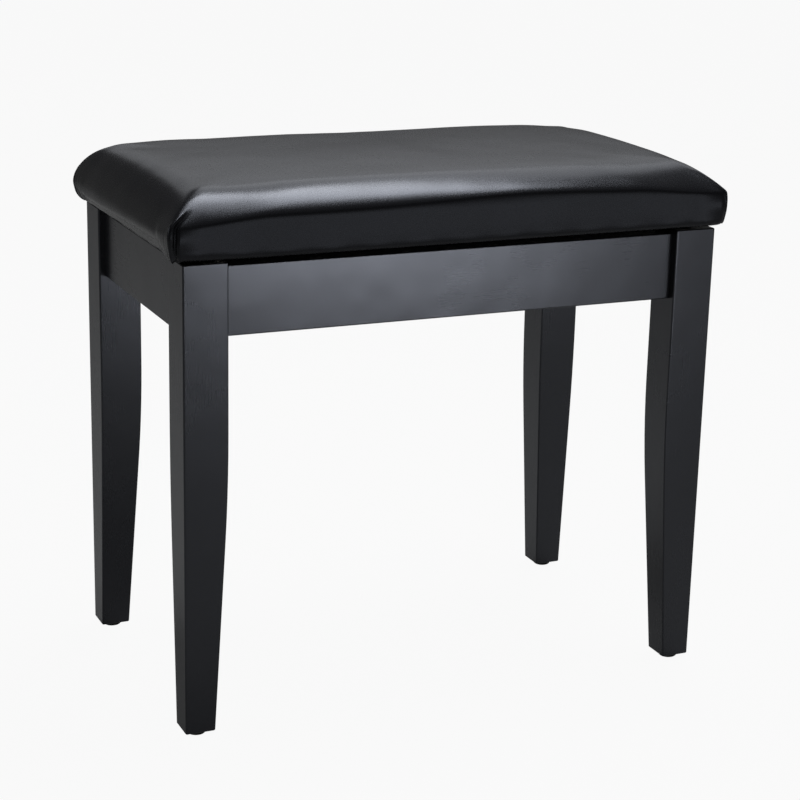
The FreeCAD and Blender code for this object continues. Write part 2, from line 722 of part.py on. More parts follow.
plate_front = rail_pivot.y - plate_nose
plate = box(plate_inner, plate_outer, plate_front, plate_front + plate_length,
            rail_pivot.z - plate_height / 2, rail_pivot.z + plate_height / 2)
plate = plate.makeFillet(plate_corner, [e for e in plate.Edges if e.BoundBox.XLength > arm_thickness / 2])
screw_room = stay_screw_radius + plate_hole_gap
holes = [rod(p - V(arm_thickness + past, 0, 0), V(1, 0, 0), screw_room, arm_thickness + 2 * past)
         for p in plate_screws]
holes.append(bore(rail_pivot, rivet_radius + fit_gap, plate_inner, plate_outer))
save("stay_rail_plate", plate.cut(holes))
save("stay_rail_rivet", rivet(rail_pivot, rivet_radius, lower_inner - head_gap, plate_outer,
                              rivet_head_radius, rivet_head_height))
save("stay_elbow_rivet", rivet(elbow, rivet_radius, upper_inner - head_gap, lower_outer,
                               rivet_head_radius, rivet_head_height))

tab = box(tab_inner, tab_outer, lid_pivot.y - arm_half_width, lid_pivot.y + arm_half_width,
          lid_pivot.z, flange_top)
tab_end = rod(V(tab_inner, lid_pivot.y, lid_pivot.z), V(1, 0, 0), arm_half_width, arm_thickness)
flange = box(flange_inner, tab_outer, lid_pivot.y - flange_length / 2, lid_pivot.y + flange_length / 2,
             flange_top - arm_thickness, flange_top)
bracket = join([tab, tab_end, flange])
holes = [rod(p - V(0, 0, past), V(0, 0, 1), screw_room, arm_thickness + 2 * past) for p in flange_screws]
holes.append(bore(lid_pivot, lid_pin_radius + fit_gap, tab_inner, tab_outer))
save("stay_lid_bracket", bracket.cut(holes))
pin_base = V(tab_inner, lid_pivot.y, lid_pivot.z)
pin_reach = upper_outer + head_gap - tab_inner
save("stay_lid_pin", join([rod(pin_base, V(1, 0, 0), lid_pin_radius, pin_reach),
                           rod(pin_base + V(pin_reach, 0, 0), V(1, 0, 0), rivet_head_radius,
                               rivet_head_height)]))


def stay_screw(head, along):
    return screw(head, along, stay_screw_length, stay_screw_radius, stay_screw_head_radius,
                 stay_screw_head_height)


save("stay_plate_screws", Part.makeCompound([
    stay_screw(p - V(arm_thickness, 0, 0), V(1, 0, 0)) for p in plate_screws]))
save("stay_flange_screws", Part.makeCompound([stay_screw(p, V(0, 0, 1)) for p in flange_screws]))

for name in sorted(bodies):
    shape = bodies[name]
    shape.exportStep("parts/" + name + ".step")
    print(name, len(shape.Solids), "valid" if shape.isValid() else "NOT VALID", round(shape.Volume))
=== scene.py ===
import json
import math

import bpy
import numpy as np
from mathutils import Matrix, Vector, noise
from mathutils.kdtree import KDTree


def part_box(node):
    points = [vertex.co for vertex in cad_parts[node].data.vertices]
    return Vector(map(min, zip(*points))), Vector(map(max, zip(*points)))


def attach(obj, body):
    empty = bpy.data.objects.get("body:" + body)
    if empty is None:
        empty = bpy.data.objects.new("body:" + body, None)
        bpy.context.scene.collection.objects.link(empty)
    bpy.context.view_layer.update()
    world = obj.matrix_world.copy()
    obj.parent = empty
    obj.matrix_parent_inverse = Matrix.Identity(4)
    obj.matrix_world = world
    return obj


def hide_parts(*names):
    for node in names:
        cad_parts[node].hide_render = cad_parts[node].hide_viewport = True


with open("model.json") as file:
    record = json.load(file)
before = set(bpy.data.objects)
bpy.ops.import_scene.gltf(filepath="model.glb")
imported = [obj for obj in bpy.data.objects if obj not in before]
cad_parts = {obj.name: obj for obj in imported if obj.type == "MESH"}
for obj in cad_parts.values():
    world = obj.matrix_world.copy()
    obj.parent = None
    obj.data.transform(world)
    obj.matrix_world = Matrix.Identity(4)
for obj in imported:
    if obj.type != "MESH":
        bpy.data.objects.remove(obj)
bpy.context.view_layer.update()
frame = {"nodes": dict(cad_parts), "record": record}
cadNodes = frame["nodes"]
scene = bpy.context.scene
print("frame loaded:", len(cadNodes), "nodes")


# A shader socket that takes part in plain arithmetic, and makes the nodes it needs.
class Wire:
    def __init__(self, tree, socket=None):
        self.tree = tree
        self.socket = socket

    # kind of node, its settings (set first), then what its sockets hold; gives back one output
    def node(self, kind, settings=None, sockets=None, output=0):
        made = self.tree.nodes.new("ShaderNode" + kind)
        for name, value in (settings or {}).items():
            if name == "stops":
                setStops(made.color_ramp, value)
            else:
                setattr(made, name, value)
        for name, value in (sockets or {}).items():
            if isinstance(value, Wire):
                self.tree.links.new(value.socket, made.inputs[name])
            else:
                made.inputs[name].default_value = value
        return Wire(self.tree, made.outputs[output] if made.outputs else None)

    def math(self, operation, first, second):
        return self.node("Math", {"operation": operation}, {0: first, 1: second})

    def __add__(self, other):
        return self.math("ADD", self, other)

    def __sub__(self, other):
        return self.math("SUBTRACT", self, other)

    def __rsub__(self, other):
        return self.math("SUBTRACT", other, self)

    def __mul__(self, other):
        return self.math("MULTIPLY", self, other)

    __radd__ = __add__
    __rmul__ = __mul__


def setStops(ramp, stops):
    while len(ramp.elements) < len(stops):
        ramp.elements.new(1.0)
    for element, (place, colour) in zip(ramp.elements, stops):
        element.position = place
        element.color = colour


def startMaterial(name):
    material = bpy.data.materials.new(name)
    material.use_nodes = True
    material.node_tree.nodes.clear()
    return material, Wire(material.node_tree)


def closeMaterial(wire, sockets):
    shader = wire.node("BsdfPrincipled", {}, sockets)
    wire.node("OutputMaterial", {}, {"Surface": shader})


def grey(level, blue=0.0):
    return (level, level, level + blue, 1.0)


def placeOn(wire):
    return wire.node("TexCoord", {}, {}, "Object")


def cloud(wire, place, scale, detail=2.0, roughness=0.5):
    return wire.node("TexNoise", {}, {"Vector": place, "Scale": scale, "Detail": detail,
                                      "Roughness": roughness}, "Fac")


def stretched(wire, place, scale):
    return wire.node("Mapping", {}, {"Vector": place, "Scale": scale})


def blendColour(wire, factor, first, second):
    return wire.node("Mix", {"data_type": "RGBA"}, {0: factor, 6: first, 7: second}, 2)


def ramp(wire, factor, stops):
    return wire.node("ValToRGB", {"stops": stops}, {"Fac": factor})


def bump(wire, height):
    return wire.node("Bump", {}, {"Height": height, "Distance": 1.0, "Strength": 1.0})


# A roughness that wanders round its level with one or two patterns, each by its own share.
def roughened(level, wander, first, second=None):
    total = first * wander[0]
    if second is not None:
        total = total + second * wander[1]
    return total + (level - sum(wander) / 2)


# ---- wood

lacquer = {
    "dark": grey(0.0062, 0.0008), "pale": grey(0.0105, 0.0014), "cloudSize": 11.0,
    "fibres": 900.0, "along": 22.0, "poreDepth": 0.000001, "waves": 26.0, "waveDepth": 0.0003,
    "roughness": 0.27, "wander": (0.05, 0.012), "specular": 0.80, "sheenTint": (0.87, 0.90, 1.0, 1.0),
}


# Satin black lacquer that lets the long fibres of the wood show faintly; grainAxis is 0, 1 or 2.
def makeLacquer(name, grainAxis):
    material, wire = startMaterial(name)
    place = placeOn(wire)
    scale = [lacquer["fibres"]] * 3
    scale[grainAxis] = lacquer["along"]
    fibre = cloud(wire, stretched(wire, place, scale), 1.0, detail=3.0, roughness=0.6)
    patch = cloud(wire, place, lacquer["cloudSize"], detail=3.0)
    wave = cloud(wire, place, lacquer["waves"], detail=1.0)
    height = fibre * lacquer["poreDepth"] + wave * lacquer["waveDepth"]
    closeMaterial(wire, {
        "Base Color": blendColour(wire, patch * 0.8 + fibre * 0.2, lacquer["dark"], lacquer["pale"]),
        "Roughness": roughened(lacquer["roughness"], lacquer["wander"], patch, fibre),
        "Specular IOR Level": lacquer["specular"],
        "Specular Tint": lacquer["sheenTint"],
        "Normal": bump(wire, height),
    })
    return material


bareWood = {
    "early": (0.60, 0.44, 0.26, 1.0), "late": (0.42, 0.27, 0.13, 1.0), "rings": 210.0,
    "ringsAlong": 9.0, "fibresAlong": 60.0, "finer": 4, "fibreDepth": 0.00012,
    "roughness": 0.62, "wander": (0.2,), "specular": 0.35,
}


# Unfinished wood for the hidden blocks and dowels: broad growth rings with finer fibres over them.
def makeBareWood(name, grainAxis):
    material, wire = startMaterial(name)
    place = placeOn(wire)
    scale = [bareWood["rings"]] * 3
    scale[grainAxis] = bareWood["ringsAlong"]
    broad = cloud(wire, stretched(wire, place, scale), 1.0)
    scale[grainAxis] = bareWood["fibresAlong"]
    finer = [bareWood["finer"] * size for size in scale]
    fibre = cloud(wire, stretched(wire, place, finer), 1.0, detail=4.0, roughness=0.7)
    tone = ramp(wire, broad, [(0.30, bareWood["late"]), (0.48, bareWood["early"]),
                              (0.66, bareWood["late"]), (0.74, bareWood["early"])])
    closeMaterial(wire, {
        "Base Color": blendColour(wire, fibre * 0.5, tone, bareWood["late"]),
        "Roughness": roughened(bareWood["roughness"], bareWood["wander"], fibre),
        "Specular IOR Level": bareWood["specular"],
        "Normal": bump(wire, fibre * bareWood["fibreDepth"]),
    })
    return material


board = {
    "dark": grey(0.012), "pale": grey(0.022), "speck": 1400.0, "depth": 0.00005, "cloudSize": 14.0,
    "roughness": 0.58, "wander": (0.12,), "specular": 0.3,
}


# Thin hardboard, stained black: the compartment's floor.
def makeBlackBoard():
    material, wire = startMaterial("blackBoard")
    place = placeOn(wire)
    fine = cloud(wire, place, board["speck"], roughness=0.7)
    patch = cloud(wire, place, board["cloudSize"], detail=3.0)
    closeMaterial(wire, {
        "Base Color": blendColour(wire, patch, board["dark"], board["pale"]),
        "Roughness": roughened(board["roughness"], board["wander"], patch),
        "Specular IOR Level": board["specular"],
        "Normal": bump(wire, fine * board["depth"]),
    })
    return material


plywood = {
    "plies": 9, "light": (0.56, 0.42, 0.26, 1.0), "dark": (0.34, 0.21, 0.11, 1.0),
    "wobbleSize": 30.0, "wobble": 0.0012, "fibres": (30.0, 900.0, 900.0), "fibreDepth": 0.0001,
    "roughness": 0.6, "wander": (0.2,), "specular": 0.3,
}


# The seat board: plies that show as stripes on its edge.
def makePlywood():
    material, wire = startMaterial("plywood")
    place = placeOn(wire)
    low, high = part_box("seat_board")
    layers = math.pi * plywood["plies"] / (high.z - low.z)
    height = wire.node("SeparateXYZ", {}, {"Vector": place}, "Z")
    wobble = cloud(wire, place, plywood["wobbleSize"]) * plywood["wobble"]
    stripe = wire.node("Math", {"operation": "SINE"}, {0: (height + wobble) * layers})
    fibre = cloud(wire, stretched(wire, place, plywood["fibres"]), 1.0, detail=3.0, roughness=0.6)
    tone = ramp(wire, stripe * 0.3 + fibre * 0.6, [(0.1, plywood["dark"]), (0.6, plywood["light"])])
    closeMaterial(wire, {
        "Base Color": tone,
        "Roughness": roughened(plywood["roughness"], plywood["wander"], fibre),
        "Specular IOR Level": plywood["specular"],
        "Normal": bump(wire, fibre * plywood["fibreDepth"]),
    })
    return material


# ---- soft goods

vinyl = {
    "dark": grey(0.0050, 0.0008), "pale": grey(0.0085, 0.0013), "cloudSize": 17.0,
    "grain": 820.0, "grainSoft": 0.4, "grainDepth": 0.000006, "drift": 0.0016, "driftSize": 300.0,
    "pebble": 260.0, "pebbleDepth": 0.000009,
    "roughness": 0.27, "wander": (0.05, 0.04), "specular": 0.40, "sheenTint": (0.87, 0.90, 1.0, 1.0),
}


# Leathercloth: rounded pebbles a millimetre or so across, with painted shade darkening the creases between
# them.
def makeVinyl():
    material, wire = startMaterial("blackVinyl")
    place = placeOn(wire)
    drift = wire.node("TexNoise", {}, {"Vector": place, "Scale": vinyl["driftSize"],
                                       "Detail": 2.0}, "Color")
    moved = wire.node("VectorMath", {"operation": "MULTIPLY_ADD"},
                      {0: drift, 1: [vinyl["drift"]] * 3, 2: place})
    cells = wire.node("TexVoronoi", {"feature": "SMOOTH_F1"},
                      {"Vector": moved, "Scale": vinyl["grain"], "Smoothness": vinyl["grainSoft"]},
                      "Distance")
    pebble = cloud(wire, place, vinyl["pebble"], detail=3.0, roughness=0.6)
    patch = cloud(wire, place, vinyl["cloudSize"], detail=3.0)
    height = (1 - cells) * vinyl["grainDepth"] + pebble * vinyl["pebbleDepth"]
    closeMaterial(wire, {
        # painted shade: the colour darkens in the creases between pebbles (cells), over a random tone (patch)
        "Base Color": blendColour(wire, patch * 0.5 + cells * 0.5, vinyl["pale"], vinyl["dark"]),
        "Roughness": roughened(vinyl["roughness"], vinyl["wander"], patch, cells),
        "Specular IOR Level": vinyl["specular"],
        "Specular Tint": vinyl["sheenTint"],
        "Normal": bump(wire, height),
    })
    return material


foam = {
    "pale": (0.80, 0.76, 0.64, 1.0), "deep": (0.60, 0.54, 0.40, 1.0), "cells": 900.0, "depth": 0.0005,
    "roughness": 0.9, "specular": 0.2,
}


# Open-celled foam, a little yellowed.
def makeFoam():
    material, wire = startMaterial("foam")
    place = placeOn(wire)
    cells = wire.node("TexVoronoi", {}, {"Vector": place, "Scale": foam["cells"]}, "Distance")
    closeMaterial(wire, {
        "Base Color": blendColour(wire, cells, foam["pale"], foam["deep"]),
        "Roughness": foam["roughness"],
        "Specular IOR Level": foam["specular"],
        "Normal": bump(wire, cells * foam["depth"]),
    })
    return material


dustFabric = {
    "dark": grey(0.010), "pale": grey(0.030), "fibres": 1500.0, "fibreDepth": 0.00010,
    "dots": 620.0, "dotDepth": 0.00018, "disorder": 0.15,
    "roughness": 0.85, "specular": 0.2, "sheen": 0.15,
}


# Non-woven cloth: matted fibres, pressed together in a close pattern of small dots.
def makeDustFabric():
    material, wire = startMaterial("dustFabric")
    place = placeOn(wire)
    fibre = cloud(wire, place, dustFabric["fibres"], detail=5.0, roughness=0.8)
    dots = wire.node("TexVoronoi", {}, {"Vector": place, "Scale": dustFabric["dots"],
                                        "Randomness": dustFabric["disorder"]}, "Distance")
    closeMaterial(wire, {
        "Base Color": blendColour(wire, fibre * 0.7 + dots * 0.3, dustFabric["dark"], dustFabric["pale"]),
        "Roughness": dustFabric["roughness"],
        "Specular IOR Level": dustFabric["specular"],
        "Sheen Weight": dustFabric["sheen"],
        "Normal": bump(wire, fibre * dustFabric["fibreDepth"] + dots * dustFabric["dotDepth"]),
    })
    return material


# ---- metal, nylon and rubber

metals = {
    "plate": {"dark": (0.44, 0.44, 0.43, 1.0), "pale": (0.60, 0.60, 0.58, 1.0), "roughness": 0.28},
    "zinc": {"dark": (0.42, 0.40, 0.34, 1.0), "pale": (0.62, 0.60, 0.52, 1.0), "roughness": 0.36},
}
plating = {
    "brush": (3000.0, 160.0, 3000.0), "brushDepth": 0.0000015, "cloudSize": 90.0, "wander": (0.12, 0.14),
}


# Plated steel: faint rolling marks under the plating, and cloudy patches in its shine.
def makeMetal(name, look):
    material, wire = startMaterial(name)
    place = placeOn(wire)
    brushed = cloud(wire, stretched(wire, place, plating["brush"]), 1.0)
    patch = cloud(wire, place, plating["cloudSize"], detail=3.0)
    closeMaterial(wire, {
        "Base Color": blendColour(wire, patch, look["dark"], look["pale"]),
        "Metallic": 1.0,
        "Roughness": roughened(look["roughness"], plating["wander"], brushed, patch),
        "Normal": bump(wire, brushed * plating["brushDepth"]),
    })
    return material


moulded = {
    "nylon": {"level": 0.012, "roughness": 0.42, "speck": 900.0},
    "rubber": {"level": 0.018, "roughness": 0.75, "speck": 1600.0},
}
moulding = {"cloudSize": 60.0, "specular": 0.4, "depth": 0.00004, "paler": 1.7, "wander": (0.12, 0.08)}


# Black nylon or rubber with the fine matt texture that a mould leaves.
def makeMoulded(name, look):
    material, wire = startMaterial(name)
    place = placeOn(wire)
    fine = cloud(wire, place, look["speck"], detail=3.0, roughness=0.7)
    patch = cloud(wire, place, moulding["cloudSize"])
    dark, pale = grey(look["level"]), grey(look["level"] * moulding["paler"])
    closeMaterial(wire, {
        "Base Color": blendColour(wire, patch, dark, pale),
        "Roughness": roughened(look["roughness"], moulding["wander"], patch, fine),
        "Specular IOR Level": moulding["specular"],
        "Normal": bump(wire, fine * moulding["depth"]),
    })
    return material


looks = {
    "legWood": makeLacquer("lacqueredLeg", 2),
    "longRailWood": makeLacquer("lacqueredLongRail", 0),
    "endRailWood": makeLacquer("lacqueredEndRail", 1),
    "blockWood": makeBareWood("bareBlock", 2),
    "dowelWood": makeBareWood("bareDowel", 0),
    "blackBoard": makeBlackBoard(),
    "plywood": makePlywood(),
    "foam": makeFoam(),
    "vinyl": makeVinyl(),
    "dustFabric": makeDustFabric(),
    "nylon": makeMoulded("blackNylon", moulded["nylon"]),
    "rubber": makeMoulded("blackRubber", moulded["rubber"]),
    "plate": makeMetal("platedSteel", metals["plate"]),
    "zinc": makeMetal("zincScrews", metals["zinc"]),
}
print("materials made:", len(looks))

slotLooks = {
    "lacquered_wood": "legWood", "bare_wood": "blockWood", "black_board": "blackBoard",
    "plywood": "plywood", "foam": "foam", "black_vinyl": "vinyl", "dust_cloth": "dustFabric",
    "black_nylon": "nylon", "rubber": "rubber", "plated_steel": "plate", "screw_steel": "zinc",
}
nodeLooks = {
    "rail_front": "longRailWood", "rail_rear": "longRailWood", "rail_left": "endRailWood",
    "rail_right": "endRailWood", "rail_dowels": "dowelWood",
}


# Gives a CAD node its finish, and leaves its shape and place alone.
def dressNode(name, look):
    mesh = cadNodes[name].data
    mesh.materials.clear()
    mesh.materials.append(looks[look])


for part in frame["record"]["subparts"]:
    slotName = part["material_slot"]
    dressNode(part["node"], nodeLooks.get(part["node"], slotLooks[slotName]))
print("frame dressed")


# ---- padded seat

cushion = {
    # what differs from corner to corner: front left, front right, back left, back right
    "side": (0.028, 0.030, 0.017, 0.020),              # height of the upright side
    "lift": (1.1, 1.05, 1.75, 1.6),                    # how round the shoulder rises
    "under": (0.25, 0.0, 1.0, 0.6),                    # how fully the lower edge is rounded under
    "cornerPull": (0.0004, 0.0006, 0.0004, 0.0015),    # how far the lower corner is drawn in
    # how much taller the long sides are away from the ends, and how much lower the ends are
    "sideGrowth": 0.006, "sideReach": (0.006, 0.095), "endDrop": 0.008, "endReach": (0.002, 0.045),
    # a fuller stretch of the long sides, right of the middle
    "fullness": 0.0050, "fullPlace": 0.055, "fullWidth": 0.100,
    # how far the side leans in below, how much more at the ends, and how far the long sides lean
    # back instead, changing over at the corners
    "undercut": 0.0006, "endUndercut": 0.0016, "lean": 0.0024, "leanChange": (-0.002, 0.004),
    # how far the front's lower edge hangs, fading out between these two places from front to back
    "sag": 0.0010, "sagRange": (-0.06, 0.02),
    # how far in from the side the shoulder reaches, its roundness across, and how much rounder it
    # rises along the long sides and along the ends
    "reach": 0.040, "bulge": 2.1, "liftGrowth": (0.14, 0.32),
    # how far the top falls away towards its corners
    "crown": 0.0038,
    # where the padding is fuller or flatter than that: place, width and how much
    "touches": (((-0.213, 0.118), 0.045, 0.0011), ((0.238, 0.117), 0.026, -0.0020),
                ((0.020, 0.118), 0.080, -0.0013)),
    # how square the corners are from above, at the side and on top, and how late that changes
    "edgeCorner": 32.0, "topCorner": 2.7, "cornerBlend": 3.5,
    # width and height of the turn under the seat, more of both where it is rounded under, and the
    # most of the side's height that it takes
    "tuck": (0.0034, 0.0042), "tuckRise": (0.0036, 0.0082), "tuckShare": 0.6,
    # where the lower corners are drawn in, and the share of it that goes upwards
    "cornerPullWidth": 0.0070, "cornerPullRise": 0.015, "cornerPullDepth": (0.008, 0.020),
    "cornerLift": 0.5,
    "hem": 0.028, "coverThickness": 0.0012,
    # places along a long side and along an end, crowded towards the corners, and the rings
    "columns": 132, "rows": 76, "cornerGrading": 0.85,
    "rings": {"turns": 26, "flats": 6, "hems": 5, "tucks": 8, "sides": 12},
    "capInset": 0.072,                                 # where the rings meet the level grid
    # finding the shoulder: how far outside the seat the search ends, and how often it halves
    "searchMargin": 0.006, "searchCorner": 0.020, "halvings": 30,
    # smoothing where the shoulder begins: how many of its rings, and how often
    "softRings": 5, "softPasses": 5,
    # the foam: room to the cover and board, how far it reaches down, and its lean
    "foamGap": 0.0032, "boardGap": 0.0003, "boardCorner": 0.017, "skirt": 0.007, "foamLean": 0.0030,
}
seatLow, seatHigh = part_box("seat_cover")
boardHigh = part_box("seat_board")[1]


# How far out a place on the seat lies: 0 on the level top, 1 where the side turns upright.
def outwardness(x, y, halfX, halfY):
    reach = cushion["reach"]
    a = np.clip((reach - (halfX - np.abs(x))) / reach, 0, None)
    b = np.clip((reach - (halfY - np.abs(y))) / reach, 0, None)
    nearCorner = np.clip((a ** 4 + b ** 4) ** 0.25, 0, 1)
    power = cushion["topCorner"] + (cushion["edgeCorner"] - cushion["topCorner"]) * (
        nearCorner ** cushion["cornerBlend"])
    return (a ** power + b ** power + 1e-12) ** (1 / power)


# Places round a rectangle, starting at the front left corner and going by the right, with the
# same number on each side whatever its size; grading 0 spaces them evenly.
def roundRectangle(halfX, halfY, radius, grading, counts):
    places = []
    for side, (along, across, count) in enumerate((
            (halfX, halfY, counts[0]), (halfY, halfX, counts[1]),
            (halfX, halfY, counts[0]), (halfY, halfX, counts[1]))):
        step = np.arange(count) / count * 2 - 1
        step = step + grading * np.sin(math.pi * step) / math.pi
        straight = along - radius
        travel = step * (straight + radius * math.pi / 4)
        angle = np.clip(np.abs(travel) - straight, 0, None) / max(radius, 1e-9)
        run = np.sign(travel) * (np.minimum(np.abs(travel), straight) + radius * np.sin(angle))
        out = across - radius * (1 - np.cos(angle))
        turn = side * math.pi / 2
        places.append(np.stack([run * math.cos(turn) + out * math.sin(turn),
                                run * math.sin(turn) - out * math.cos(turn)], 1))
    return np.concatenate(places)


# 1 up to start and 0 from end on, with a soft change between them.
def fading(value, start, end):
    t = np.clip((value - start) / (end - start), 0, 1)
    return 1 - t * t * (3 - 2 * t)


# The seat's outer form as rings from the upright side's top to the level middle, set in by inset
# metres. Each ring has one point for each place round the seat, on the line from inner to target,
# and halving that line again and again finds where the ring's own outwardness is met.
def shoulderRings(inset, counts, grading, turns, flats):
    halfX, halfY = seatHigh.x - inset, seatHigh.y - inset - cushion["lean"]
    inner = roundRectangle(seatHigh.x - cushion["capInset"], seatHigh.y - cushion["capInset"], 0, 0, counts)
    margin = cushion["searchMargin"]
    target = roundRectangle(seatHigh.x + margin, seatHigh.y + margin, cushion["searchCorner"],
                            grading, counts)
    turn = np.linspace(0, math.pi / 2, turns + 1)[:turns]
    wanted = np.cos(turn)[:, None] ** (2 / cushion["bulge"])
    near = np.zeros((turns, len(inner)))
    far = np.ones_like(near)
    for _ in range(cushion["halvings"]):
        middle = (near + far) / 2
        place = inner + (target - inner) * middle[..., None]
        out = outwardness(place[..., 0], place[..., 1], halfX, halfY) > wanted
        far = np.where(out, middle, far)
        near = np.where(out, near, middle)
    level = near[-1] * np.linspace(1, 0, flats + 1)[1:, None]
    plan = inner + (target - inner) * np.concatenate([near, level])[..., None]
    turn = np.append(turn, np.full(flats, math.pi / 2))[:, None]
    tall, short = sideShares(plan[0], inset)
    upright = seatLow.z + fromCorners("side", plan[0]) + cushion["sideGrowth"] * tall
    upright -= cushion["endDrop"] * short
    upright += cushion["fullness"] * hill(plan[0, :, 0] - cushion["fullPlace"], cushion["fullWidth"]) * tall
    growth = cushion["liftGrowth"][0] * tall + cushion["liftGrowth"][1] * short
    rise = np.sin(turn) ** (2 / (fromCorners("lift", plan[0]) + growth))
    height = upright + (seatHigh.z - inset - upright) * rise
    height = height - cushion["crown"] * crownFall(plan[..., 0], plan[..., 1]) * np.sin(turn) ** 2
    return np.dstack([plan, height + touched(plan[..., 0], plan[..., 1])])


# 1 along the long sides and 0 along the ends, changing over at the corners.
def onLongSide(outline):
    past = (seatHigh.x - np.abs(outline[:, 0])) - (seatHigh.y - np.abs(outline[:, 1]))
    return 1 - fading(past, *cushion["leanChange"])


# How fully each place of the outline belongs to a long side, and to an end; 0 at the corners.
def sideShares(outline, inset=0.0):
    tall = 1 - fading(seatHigh.x - inset - np.abs(outline[:, 0]), *cushion["sideReach"])
    short = 1 - fading(seatHigh.y - inset - np.abs(outline[:, 1]), *cushion["endReach"])
    return tall, short


# A value given for each corner, carried over from corner to corner.
def fromCorners(name, outline):
    right = (outline[:, 0] / seatHigh.x + 1) / 2
    back = (outline[:, 1] / seatHigh.y + 1) / 2
    value = cushion[name]
    return ((value[0] * (1 - right) + value[1] * right) * (1 - back)
            + (value[2] * (1 - right) + value[3] * right) * back)


# 1 at no distance, falling away on both sides over about the width.
def hill(distance, width):
    return np.exp(-(distance / width) ** 2)


# Share of the crown's fall at a place: 0 in the middle of the seat, 1 in the middle of each edge.
def crownFall(x, y):
    return (x / seatHigh.x) ** 2 + (y / seatHigh.y) ** 2


# What the fuller and flatter places add to the height.
def touched(x, y):
    return sum(more * hill(np.hypot(x - place[0], y - place[1]), width)
               for place, width, more in cushion["touches"])


# The cover's rings: the hem under the seat, the turn round its lower edge, the upright side and the
# shoulder.
def coverRings(counts, grading, turns, flats, hems, tucks, sides):
    shoulder = shoulderRings(0.0, counts, grading, turns, flats)
    outline, inner = shoulder[0, :, :2], shoulder[-1, :, :2]
    top = shoulder[0, :, 2]
    tall, short = sideShares(outline)
    under = np.maximum(fromCorners("under", outline) * (1 - tall), short)
    tuck = cushion["tuck"][0] + cushion["tuck"][1] * under
    turnRise = np.minimum(cushion["tuckRise"][0] + cushion["tuckRise"][1] * under,
                          cushion["tuckShare"] * (top - seatLow.z))
    turned = seatLow.z + turnRise
    undercut = cushion["undercut"] + cushion["endUndercut"] * short - cushion["lean"] * onLongSide(outline)
    sag = cushion["sag"] * fading(outline[:, 1], *cushion["sagRange"])
    steps = [(undercut + tuck + cushion["hem"] * (1 - i / hems), seatLow.z - sag * (i / hems) ** 2)
             for i in range(hems)]
    for i in range(tucks):
        turn = i / (tucks - 1) * math.pi / 2
        steps.append((undercut + tuck * (1 - math.sin(turn)),
                      seatLow.z - sag + (turnRise + sag) * (1 - math.cos(turn))))
    for i in range(1, sides):
        steps.append((undercut * (1 - i / sides) ** (1 + short), turned + (top - turned) * i / sides))
    lower = [np.column_stack([outline + (inner - outline) * (moved / cushion["capInset"])[:, None], height])
             for moved, height in steps]
    made = np.concatenate([np.array(lower), shoulder])
    first = hems + tucks
    last = first + sides + cushion["softRings"]
    for _ in range(cushion["softPasses"]):             # softens the line where the shoulder begins
        between = (made[first - 1:last - 1] + made[first + 1:last + 1]) / 2
        made[first:last] += 0.5 * (between - made[first:last])
    return made


# Level middle of the top: the grid that the last ring encloses, over the crown's curve.
def capGrid(ring, counts, height):
    nx, ny = counts
    x, y = np.meshgrid(ring[:nx + 1, 0], ring[nx:nx + ny + 1, 1])
    return np.dstack([x, y, height - cushion["crown"] * crownFall(x, y) + touched(x, y)])


# Faces of the grid that a ring encloses, and the grid's inner points added to the list.
def closeRing(points, start, cap, down):
    ny, nx = cap.shape[0] - 1, cap.shape[1] - 1
    index = np.zeros((ny + 1, nx + 1), int)
    for i in range(nx):
        index[0, i] = start + i
        index[ny, nx - i] = start + nx + ny + i
    for j in range(ny):
        index[j, nx] = start + nx + j
        index[ny - j, 0] = start + 2 * nx + ny + j
    for j in range(1, ny):
        for i in range(1, nx):
            index[j, i] = len(points)
            points.append(cap[j, i])
    faces = []
    for j in range(ny):
        for i in range(nx):
            face = (index[j, i], index[j, i + 1], index[j + 1, i + 1], index[j + 1, i])
            faces.append(face[::-1] if down else face)
    return faces


# Joins rings into faces, and closes the last ring, and the first if it is given a grid.
def ringMesh(rings, topCap, bottomCap=None):
    count, around = rings.shape[:2]
    points = list(rings.reshape(-1, 3))
    faces = []
    for r in range(count - 1):
        for k in range(around):
            n = (k + 1) % around
            faces.append((r * around + k, r * around + n, (r + 1) * around + n, (r + 1) * around + k))
    faces += closeRing(points, (count - 1) * around, topCap, False)
    if bottomCap is not None:
        faces += closeRing(points, 0, bottomCap, True)
    return np.array(points), faces


# A smoothly shaded piece made of points and faces, with a finish if it is given one.
def meshPiece(name, points, faces, look):
    mesh = bpy.data.meshes.new(name)
    mesh.from_pydata([tuple(map(float, p)) for p in points], [], [tuple(map(int, f)) for f in faces])
    mesh.update()
    for polygon in mesh.polygons:
        polygon.use_smooth = True
    if look:
        mesh.materials.append(looks[look])
    piece = bpy.data.objects.new(name, mesh)
    scene.collection.objects.link(piece)
    return piece


def vertexNormals(piece):
    normals = np.zeros(len(piece.data.vertices) * 3, np.float32)
    piece.data.vertices.foreach_get("normal", normals)
    return normals.reshape(-1, 3).astype(float)


# the coarse cover, how its vinyl behaves as cloth, and how much of the swell is carried over
swelling = {
    "counts": (64, 36), "grading": 0.3,
    "rings": {"turns": 14, "flats": 5, "hems": 4, "tucks": 4, "sides": 4},
    "frames": 20, "pressure": 3.0, "gravity": 0.0, "slack": 0.0,
    "stiffness": 30.0, "bending": 6.0, "mass": 0.4, "heldRise": 0.001,
    "limit": 0.0016, "share": 0.5, "near": 10, "spread": 0.008, "calm": 0.2, "calmRise": (0.030, 0.045),
}


